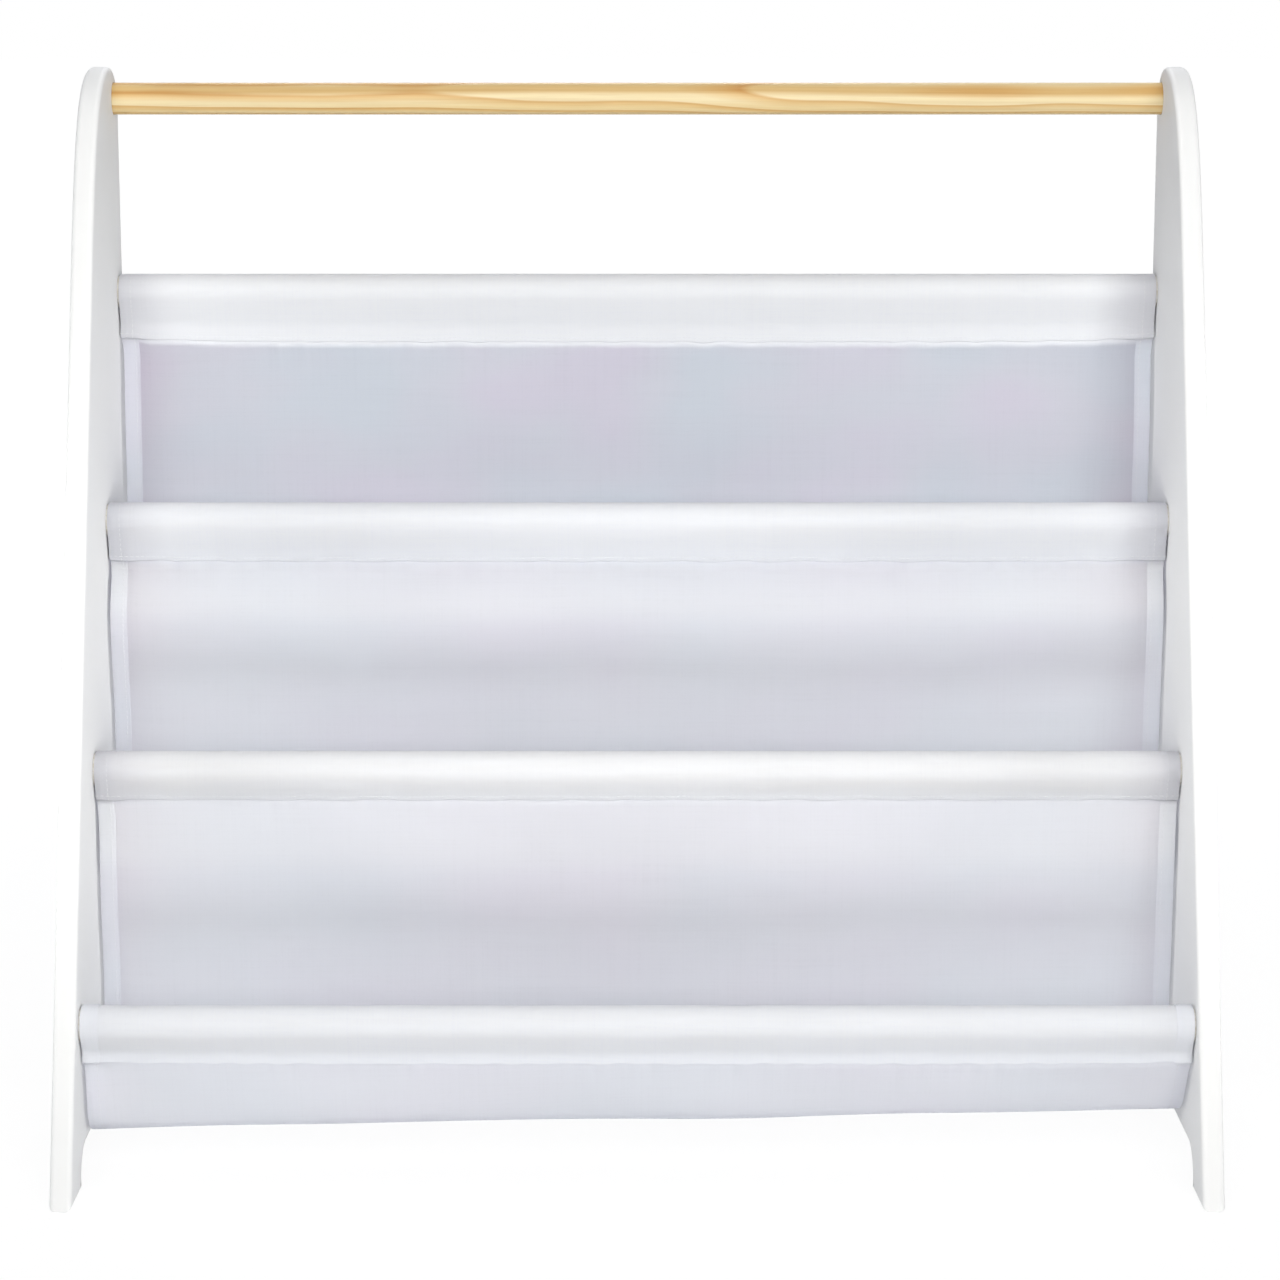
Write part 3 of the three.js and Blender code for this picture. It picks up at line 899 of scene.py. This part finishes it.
def cloth_grid(pocket, columns, seed):
    """Points in rows along the cloth's path and columns across the shelf."""
    xs, steps = columns[:, 0], columns[:, 1]
    traced = [pocket_path(pocket, x) for x in xs]
    first, last = traced[0][1:]
    section = np.array([path for path, _, _ in traced]).transpose(1, 0, 2)
    ahead = np.gradient(section, axis=0)
    ahead /= np.linalg.norm(ahead, axis=2)[:, :, None]
    inward = np.stack([ahead[:, :, 1], -ahead[:, :, 0]], axis=2)
    lengths = np.linalg.norm(np.diff(section, axis=0), axis=2)
    along = np.vstack([np.zeros(len(xs)), np.cumsum(lengths, axis=0)])
    x_grid = np.broadcast_to(xs, along.shape)
    height = creases(x_grid, along, ahead, first, last, seed)
    moved = section + inward * (height + steps[None, :])[:, :, None]
    from_top, to_end = along - along[first], along[last] - along
    hanging = smoothstep(*DRAW_START, from_top) * smoothstep(*DRAW_START, to_end)
    edge_x = x_grid * (1 - SIDE_DRAW[pocket["rod"]] * hanging / CLOTH_HALF)
    points = np.stack([edge_x, moved[:, :, 0], moved[:, :, 1]], axis=2)
    return points, along, first, last


# %% [markdown]
# The finish has to know what lies behind the cloth, so the mesh carries four shades, each
# from 0 to 1. The layers say how much light a place sends back in place of passing it on:
# more on the rods, a little in the hems and where another pocket hangs right behind. The
# paleness gives the even white of double cloth. Both are partly painted light: they differ
# from roll to roll and from pocket to pocket, brighten the cloth where a pocket hangs behind
# it, whiten the sheets of the middle and lower pockets and the lower pocket's front, and
# lighten the upper sheet low down, where the next roll shades it. The last two are painted
# shade: they darken the cloth beside the hems and at the ends of the rolls, where the panels
# shade it, and in the middle of the middle and lower sheets, where the side lamps light it
# most.


# %% Shades of the cloth
HEM_EDGE = (HEM_WIDTH + 0.6, HEM_WIDTH - 0.2)
HEM_LAYERS = 0.1
HEM_PALE = (0.6, 0.75, 0.75)
# Painted light: the sheets of the middle and lower pockets are whitened all over.
SHEET_PALE_PAINTED_LIGHT = (0.0, 0.68, 0.66)
# Partly painted light: the rolls' layers differ from roll to roll, to set how bright each roll looks.
SLEEVE_LAYERS = (1.0, 0.5, 0.25, 0.5)
SLEEVE_EDGE = 3.0
# Painted shade at the ends of the rolls, where the panels shade them.
PAINTED_ROLL_END_SHADES = (1.0, 0.8, 0.8, 0.1)
ROLL_END = (40.0, 3.0)
# Painted shade beside the hems, where the panels shade the cloth.
PAINTED_HEM_SHADES = (1.0, 0.6, 0.5)
HEM_SHADE_REACH = 26.0
# Painted shade in the middle of the middle and lower sheets, where the side lamps light them most.
PAINTED_MIDDLE_SHADES = (0.0, 0.21, 0.36)
MIDDLE_REACH = 150.0
# Painted light low on the upper sheet, above the next roll, where that roll shades it.
SEEN_LENGTH = 92.0
LOW_PAINTED_LIGHT = 0.45
DEEP_START = (0.6 * SEEN_LENGTH, 1.1 * SEEN_LENGTH)
DEEP_END = (175.0, 150.0)
# Partly real and partly painted light: paler cloth that sends back more light where another pocket hangs
# right behind.
BACKED_PAINTED_LIGHT = 0.26
BACKED_FROM = 0.5
BACKED_TO = 1.45
# Painted light: the lower pocket's front is paler and sends back more light.
FRONT_PALE_PAINTED_LIGHT = 0.75
FRONT_START = (60.0, 45.0)


def cloth_shades(rod, xs, along, first, last):
    from_top, to_end = along - along[first], along[last] - along
    x_grid = np.broadcast_to(xs, along.shape)
    from_side = CLOTH_HALF - np.abs(x_grid)
    hemmed = smoothstep(*HEM_EDGE, from_side)
    by_panel = smoothstep(*ROLL_END, from_side)
    layers = HEM_LAYERS * hemmed
    # Painted light: the sheets of the middle and lower pockets are paler all over.
    pale = np.maximum(HEM_PALE[rod] * hemmed, SHEET_PALE_PAINTED_LIGHT[rod])
    # Painted shade at the ends of the rolls.
    end_shade = np.zeros(along.shape)
    # Painted shade: darker beside the hems and in the middle of a sheet.
    by_hem = PAINTED_HEM_SHADES[rod] * fade(from_side - HEM_WIDTH, HEM_SHADE_REACH)
    by_hem = np.maximum(by_hem, PAINTED_MIDDLE_SHADES[rod] * np.exp(-((x_grid / MIDDLE_REACH) ** 2)))
    by_hem = by_hem * (1 - hemmed)
    for distance, roll in [(from_top, rod)] + ([(to_end, 3)] if rod == 2 else []):
        sleeved = smoothstep(SLEEVE_EDGE, 0, distance)
        layers = np.maximum(layers, sleeved * SLEEVE_LAYERS[roll])
        pale = np.maximum(pale, sleeved)
        end_shade = np.maximum(end_shade, sleeved * PAINTED_ROLL_END_SHADES[roll] * by_panel)
        by_hem = by_hem * (1 - sleeved)
    if rod == 0:
        # Painted light: the upper sheet sends back more light low down, where the next roll shades it.
        low_painted_light = smoothstep(*DEEP_START, from_top) * smoothstep(*DEEP_END, from_top)
        layers = np.maximum(layers, LOW_PAINTED_LIGHT * low_painted_light)
    else:
        drop_behind = POCKETS["upper" if rod == 1 else "middle"]["drops"][0]
        # Partly real and partly painted light where another pocket hangs right behind.
        backed_painted_light = 1 - smoothstep(BACKED_FROM * drop_behind, BACKED_TO * drop_behind, from_top)
        layers = np.maximum(layers, BACKED_PAINTED_LIGHT * backed_painted_light)
        pale = np.maximum(pale, backed_painted_light)
    if rod == 2:
        # Painted light on the lower pocket's front.
        front = smoothstep(*FRONT_START, to_end)
        layers = np.maximum(layers, HEM_LAYERS * front)
        pale = np.maximum(pale, FRONT_PALE_PAINTED_LIGHT * front)
        by_hem = by_hem * (1 - front)
    return {"layers": layers, "pale": pale, "by_hem": by_hem, "end_shade": end_shade}


# %% Cloth mesh
def cloth_piece(name, pocket, seed):
    columns = np.array(cloth_columns())
    points, along, first, last = cloth_grid(pocket, columns, seed)
    shades = cloth_shades(pocket["rod"], columns[:, 0], along, first, last)
    across = np.concatenate([[0], np.cumsum(np.hypot(*np.diff(columns, axis=0).T))])
    rows, count = points.shape[:2]
    vertices = [in_metres(*p) for p in points.reshape(-1, 3)]
    faces = []
    for row in range(rows - 1):
        for column in range(count - 1):
            here = row * count + column
            faces.append((here, here + 1, here + count + 1, here + count))
    piece = mesh_object(name, vertices, faces)
    uv = piece.data.uv_layers.new(name="cloth")
    corners = np.zeros(len(piece.data.loops), int)
    piece.data.loops.foreach_get("vertex_index", corners)
    places = np.stack([across[corners % count], along.reshape(-1)[corners]], axis=1) * MM
    uv.data.foreach_set("uv", places.reshape(-1))
    for shade_name, values in shades.items():
        give(piece, shade_name, values.reshape(-1))
    solid = piece.modifiers.new("cloth_thickness", "SOLIDIFY")
    solid.thickness = CLOTH_THICKNESS * MM
    solid.offset = 0
    bake_modifiers(piece)
    smooth_shading(piece, 60)
    flat = (across[-1] * MM, float(along[-1].mean()) * MM)
    return piece, flat, points, last


# %% [markdown]
# Thin white cloth sends back some light and lets about as much through. So the shader mixes
# a matte surface with a translucent one, and the layers on the mesh set their shares. The
# pattern follows the cloth's own map in metres: a plain weave of warp and weft, a little
# thicker in places, and slow faint tints of blue and pink in the single cloth.


# %% White cloth
THREADS_PER_METRE = 2200.0
SINGLE_PASSES = 0.7
LAYERED_PASSES = 0.4
SINGLE_TONES = [(0.36, (0.86, 0.884, 0.915)), (0.5, (0.88, 0.881, 0.915)), (0.64, (0.888, 0.864, 0.915))]
DOUBLE_TONES = [(0.3, (0.966, 0.968, 0.974)), (0.4, (0.958, 0.964, 0.979))]
# Tone of the painted shade beside the hems and in the sheets' middles.
PAINTED_SHEET_SHADE_TONE = (0.905, 0.882, 0.895, 1)
# Tone of the painted shade at the ends of the rolls.
PAINTED_END_SHADE_TONE = (0.875, 0.87, 0.885, 1)
PASSED_TONE = (0.98, 0.985, 1.0, 1)


def cloth_weave(tree, place):
    ridges = []
    for axis in ("X", "Y"):
        threads = math_node(tree, "MULTIPLY", along_axis(tree, place, axis), THREADS_PER_METRE * math.pi)
        ridges.append(math_node(tree, "ABSOLUTE", math_node(tree, "SINE", threads)))
    return math_node(tree, "MULTIPLY", *ridges)


def white_cloth():
    finish, tree = new_finish("white_cloth")
    place = add_node(tree, "ShaderNodeUVMap", uv_map="cloth").outputs["UV"]
    weave = cloth_weave(tree, place)
    weft, warp = (grain(tree, place, stretch, 2.0) for stretch in ((14, 900, 1), (900, 14, 1)))
    slubs = math_node(tree, "ADD", weft, warp)
    layers = attribute(tree, "layers")
    tint = noise(tree, stretched(tree, place, (1.0, 1.5, 1)), 8.0, detail=2.5)
    single, double = ramp(tree, tint, SINGLE_TONES), ramp(tree, layers, DOUBLE_TONES)
    colour = mixed_colours(tree, attribute(tree, "pale"), single, double)
    # Painted shade beside the hems and in the sheets' middles.
    colour = mixed_colours(tree, attribute(tree, "by_hem"), colour, PAINTED_SHEET_SHADE_TONE, "MULTIPLY")
    # Painted shade at the ends of the rolls.
    colour = mixed_colours(tree, attribute(tree, "end_shade"), colour, PAINTED_END_SHADE_TONE, "MULTIPLY")
    colour = mixed_colours(tree, 1.0, colour, between(tree, slubs, 0.96, 1.03), "MULTIPLY")
    through = mixed_colours(tree, 1.0, colour, PASSED_TONE, "MULTIPLY")
    surface = bump(tree, weave, 0.35, 0.00012)
    surface = bump(tree, slubs, 0.2, 0.0001, surface)
    roughness = between(tree, weave, 0.78, 0.92)
    values = {"Base Color": colour, "Roughness": roughness, "Normal": surface, "Specular IOR Level": 0.2}
    matte = result(tree, PRINCIPLED, values)
    passing = result(tree, "ShaderNodeBsdfTranslucent", {"Color": through, "Normal": surface})
    show(tree, MIX_SHADER, {0: between(tree, layers, SINGLE_PASSES, LAYERED_PASSES), 1: matte, 2: passing})
    return finish


WHITE_CLOTH = white_cloth()
print("cloth finish made")

# %% [markdown]
# ## Stitches
# Every seam and hem is sewn with white thread, a stitch every 3 mm. Repeats like this are
# work for Geometry Nodes: a line on the cloth is cut into equal steps, one small rounded
# stitch is set on each step along the line, and the copies are made real.


# %% Stitch tree
def tree_inputs(tree, inputs):
    """Gives a tree its named inputs, and returns the sockets that carry them."""
    for name, (kind, value) in inputs.items():
        socket = tree.interface.new_socket(name=name, in_out="INPUT", socket_type="NodeSocket" + kind)
        if value is not None:
            socket.default_value = value
    tree.interface.new_socket(name="Copies", in_out="OUTPUT", socket_type="NodeSocketGeometry")
    return add_node(tree, "NodeGroupInput").outputs


def real_copies(tree, places, shape, turn, size, finish):
    """Sets a shape on each place, makes the copies real and gives them their finish."""
    values = {"Points": places, "Instance": shape, "Rotation": turn, "Scale": size}
    copies = result(tree, "GeometryNodeInstanceOnPoints", values)
    real = result(tree, "GeometryNodeRealizeInstances", {"Geometry": copies})
    finished = result(tree, "GeometryNodeSetMaterial", {"Geometry": real, "Material": finish})
    add_node(tree, "NodeGroupOutput", {0: finished})


def chance(tree, low, high, seed):
    """A random number between low and high for each place."""
    values = {2: low, 3: high, 8: seed}
    return add_node(tree, "FunctionNodeRandomValue", values, data_type="FLOAT").outputs[1]


def stitch_tree():
    tree = bpy.data.node_groups.new("stitches_on_line", "GeometryNodeTree")
    given = tree_inputs(tree, {
        "Line": ("Geometry", None),
        "Stitch step": ("Float", 0.003),
        "Stitch length": ("Float", 0.0023),
        "Thread thickness": ("Float", 0.0003),
        "Unevenness": ("Float", 0.12),
        "Seed": ("Int", 0),
        "Thread finish": ("Material", None),
    })
    curve = result(tree, "GeometryNodeMeshToCurve", {"Mesh": given["Line"]})
    values = {"Curve": curve, "Length": given["Stitch step"]}
    steps = result(tree, "GeometryNodeResampleCurve", values, mode="LENGTH")
    tangent = result(tree, "GeometryNodeInputTangent")
    turn = result(tree, "FunctionNodeAlignRotationToVector", {"Vector": tangent}, axis="X")
    ball = result(tree, "GeometryNodeMeshUVSphere", {"Segments": 6, "Rings": 4, "Radius": 0.5})
    thickness = given["Thread thickness"]
    values = {"X": given["Stitch length"], "Y": thickness, "Z": thickness}
    size = result(tree, "ShaderNodeCombineXYZ", values)
    least = math_node(tree, "SUBTRACT", 1.0, given["Unevenness"])
    most = math_node(tree, "ADD", 1.0, given["Unevenness"])
    uneven = chance(tree, least, most, given["Seed"])
    scale = result(tree, "ShaderNodeVectorMath", {0: size, "Scale": uneven}, operation="SCALE")
    real_copies(tree, steps, ball, turn, scale, given["Thread finish"])
    return tree


def with_nodes(piece, tree, values):
    """Runs a Geometry Nodes tree on a piece and keeps only the plain mesh that it makes."""
    modifier = piece.modifiers.new("made_by_nodes", "NODES")
    modifier.node_group = tree
    for item in tree.interface.items_tree:
        if item.in_out == "INPUT" and item.name in values:
            modifier[item.identifier] = values[item.name]
    bake_modifiers(piece)


STITCHES = stitch_tree()
print("stitch tree nodes:", len(STITCHES.nodes))


# %% Thread finish
THREAD_TONES = [(0.35, (0.86, 0.865, 0.88)), (0.65, (0.95, 0.95, 0.955))]


def white_thread():
    finish, tree = new_finish("white_thread")
    twist = grain(tree, object_place(tree), (5200, 5200, 5200), 1.0, (0, 0, 0.6))
    values = {
        "Base Color": ramp(tree, twist, THREAD_TONES),
        "Roughness": between(tree, twist, 0.5, 0.7),
        "Normal": bump(tree, twist, 0.4, 0.00006),
        "Sheen Weight": 0.2,
    }
    show(tree, PRINCIPLED, values)
    return finish


WHITE_THREAD = white_thread()
print("thread finish made")

# %% [markdown]
# The stitch lines come from the cloth itself. A seam line follows a row, a little above the
# sleeve's folded edge. A hem line follows a column near the inner edge of the hem, on both
# faces. The threads lie partly sunk into the cloth's surface.


# %% Lines to sew
def lifted(line, way, lift):
    """A line moved off the cloth's middle, square to the way that the cloth runs."""
    way = way / np.linalg.norm(way, axis=1)[:, None]
    return line + np.stack([np.zeros(len(way)), way[:, 2], -way[:, 1]], axis=1) * lift


def along_rows(points, lift, row, other_row, distance):
    way = points[other_row] - points[row]
    step = way / np.linalg.norm(way, axis=1)[:, None] * distance
    return lifted(points[row] + step, way, lift)


def along_columns(points, column, lift):
    way = np.gradient(points[:, column], axis=0)
    way[:, 0] = 0
    return lifted(points[:, column], way, lift)


def lines_object(name, lines):
    vertices, edges = [], []
    for line in lines:
        start = len(vertices)
        vertices += [in_metres(*p) for p in line]
        edges += [(start + i, start + i + 1) for i in range(len(line) - 1)]
    return mesh_object(name, vertices, [], edges)


# %% Sew the pockets
THREAD_RADIUS = 0.15
THREAD_STANDS = 0.3
SEAM_INSET = 1.8
HEM_STITCH_INSET = 1.6
HEM_COLUMNS = 10
TURN_ROW = 10


def pocket_stitches(name, pocket, points, last):
    surface = CLOTH_THICKNESS / 2 + THREAD_RADIUS * THREAD_STANDS
    flat_part = points[:, HEM_COLUMNS:-HEM_COLUMNS]
    rows = len(points)
    lines = [along_rows(flat_part, -surface, TURN_ROW, TURN_ROW + 2, SEAM_INSET)]
    if pocket["rod"] == 2:
        lines.append(along_rows(flat_part, surface, rows - 1 - TURN_ROW, rows - 3 - TURN_ROW, SEAM_INSET))
    xs = points[0, :, 0]
    for side in (-1, 1):
        place = side * (CLOTH_HALF - HEM_WIDTH + HEM_STITCH_INSET)
        hem = np.arange(HEM_COLUMNS) if side < 0 else np.arange(len(xs) - HEM_COLUMNS, len(xs))
        middle = np.arange(HEM_COLUMNS, len(xs) - HEM_COLUMNS)
        inner = hem[np.argmin(np.abs(xs[hem] - place))]
        outer = middle[np.argmin(np.abs(xs[middle] - place))]
        lines.append(along_columns(points[TURN_ROW:last + 1], inner, surface))
        lines.append(along_columns(points[TURN_ROW:last + 1], outer, -surface))
    threads = lines_object(name + "_pocket_thread", lines)
    thickness = 2 * THREAD_RADIUS * MM
    values = {"Thread thickness": thickness, "Thread finish": WHITE_THREAD, "Seed": 7 + pocket["rod"]}
    with_nodes(threads, STITCHES, values)
    smooth_shading(threads, 80)
    return threads


for pocket_name, pocket in POCKETS.items():
    rod = pocket["rod"]
    cloth, flat, points, last = cloth_piece(pocket_name + "_pocket_cloth", pocket, 10 * rod + 3)
    finish_piece(cloth, WHITE_CLOTH, [pocket_name + "_sling"])
    threads = pocket_stitches(pocket_name, pocket, points, last)
    finish_piece(threads, WHITE_THREAD, [])
    print(pocket_name, "pocket cut size in metres:", [round(v, 3) for v in flat])

# %% [markdown]
# ## Bolts and inserts
# A flat-head bolt goes through the panel into a threaded insert in each rod end. The ten
# bolts are alike, so one is turned and its key socket cut, and Geometry Nodes set it in all
# the seats, each turned by chance as a hand leaves it. The inserts are out of sight inside
# the rods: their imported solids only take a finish.


# %% Zinc
def zinc(name, light, dark, roughness):
    finish, tree = new_finish(name)
    place = object_place(tree)
    turned_marks = grain(tree, place, (6000, 300, 300), 2.0)
    values = {
        "Base Color": ramp(tree, noise(tree, place, 700.0, detail=4.0), [(0.35, dark), (0.65, light)]),
        "Roughness": between(tree, turned_marks, roughness - 0.08, roughness + 0.12),
        "Normal": bump(tree, turned_marks, 0.12, 0.00005),
        "Metallic": 1.0,
    }
    show(tree, PRINCIPLED, values)
    return finish


INSERT_ZINC = zinc("insert_zinc", (0.6, 0.6, 0.58), (0.48, 0.48, 0.46), 0.45)
BOLT_ZINC = zinc("bolt_zinc", (0.46, 0.47, 0.49), (0.36, 0.37, 0.39), 0.58)
for node_name, node in NODES.items():
    if "insert" in node_name:
        node.data.materials.clear()
        node.data.materials.append(INSERT_ZINC)
print("finish given to the inserts")


# %% One bolt
KEY_ACROSS_FLATS = 4.0
KEY_DEPTH = 2.6
CROWN_FLAT = 3.4
CROWN_STEPS = ((0.12, 0.9), (0.4, 0.25), (0.8, 0.0))
HEAD_EDGE = 0.35
NECK = 0.3
POINT = 0.8
ORIGIN = (PANEL_DEPTH / 2, 0)


def one_bolt():
    """The head's crown lies at x 0 and the bolt points along -X."""
    tip = -HEAD_THICKNESS - BOLT_LENGTH
    profile = [(-0.06, 0.4), (0.0, CROWN_FLAT)]
    profile += [(-below, HEAD_RADIUS - inset) for below, inset in CROWN_STEPS]
    profile += [
        (-HEAD_THICKNESS + HEAD_EDGE, HEAD_RADIUS),
        (-HEAD_THICKNESS, HEAD_RADIUS - HEAD_EDGE),
        (-HEAD_THICKNESS, BOLT_RADIUS + NECK),
        (-HEAD_THICKNESS - NECK, BOLT_RADIUS),
        (tip + POINT, BOLT_RADIUS),
        (tip, BOLT_RADIUS - POINT),
    ]
    bolt = turned("one_bolt", profile, ORIGIN, 48)
    key_radius = KEY_ACROSS_FLATS / math.sqrt(3)
    key = turned("key_cutter", [(-KEY_DEPTH, key_radius), (CUT_OVERRUN, key_radius)], ORIGIN, 6)
    cut_away(bolt, [key])
    smooth_shading(bolt, 35)
    return bolt


# %% Bolt tree
def bolt_tree(bolt):
    tree = bpy.data.node_groups.new("bolts_in_seats", "GeometryNodeTree")
    given = tree_inputs(tree, {
        "Seats": ("Geometry", None),
        "Size": ("Float", 1.0),
        "Seed": ("Int", 3),
        "Bolt finish": ("Material", None),
    })
    shape = add_node(tree, "GeometryNodeObjectInfo", {"Object": bolt}).outputs["Geometry"]
    facing = result(tree, "GeometryNodeInputNamedAttribute", {"Name": "facing"}, data_type="FLOAT")
    roll = chance(tree, 0.0, math.pi / 3, given["Seed"])
    angles = result(tree, "ShaderNodeCombineXYZ", {"X": roll, "Z": facing})
    turn = result(tree, "FunctionNodeEulerToRotation", {0: angles})
    real_copies(tree, given["Seats"], shape, turn, given["Size"], given["Bolt finish"])
    return tree


# %% Set the bolts
bolt_shape = one_bolt()
head_top = HEAD_SEAT + HEAD_THICKNESS
seats, facings, bolt_nodes = [], [], []
for side_name, side in (("left", -1), ("right", 1)):
    for number, centre in enumerate((*ROD_CENTRES, HANDLE_CENTRE), start=1):
        seats.append(in_metres(side * head_top, *centre))
        facings.append(0.0 if side > 0 else math.pi)
        bolt_nodes.append(f"{side_name}_bolt_{number}")
bolts = mesh_object("frame_bolts", seats, [])
give(bolts, "facing", facings)
with_nodes(bolts, bolt_tree(bolt_shape), {"Seed": 3, "Bolt finish": BOLT_ZINC})
bpy.data.objects.remove(bolt_shape)
finish_piece(bolts, BOLT_ZINC, bolt_nodes)
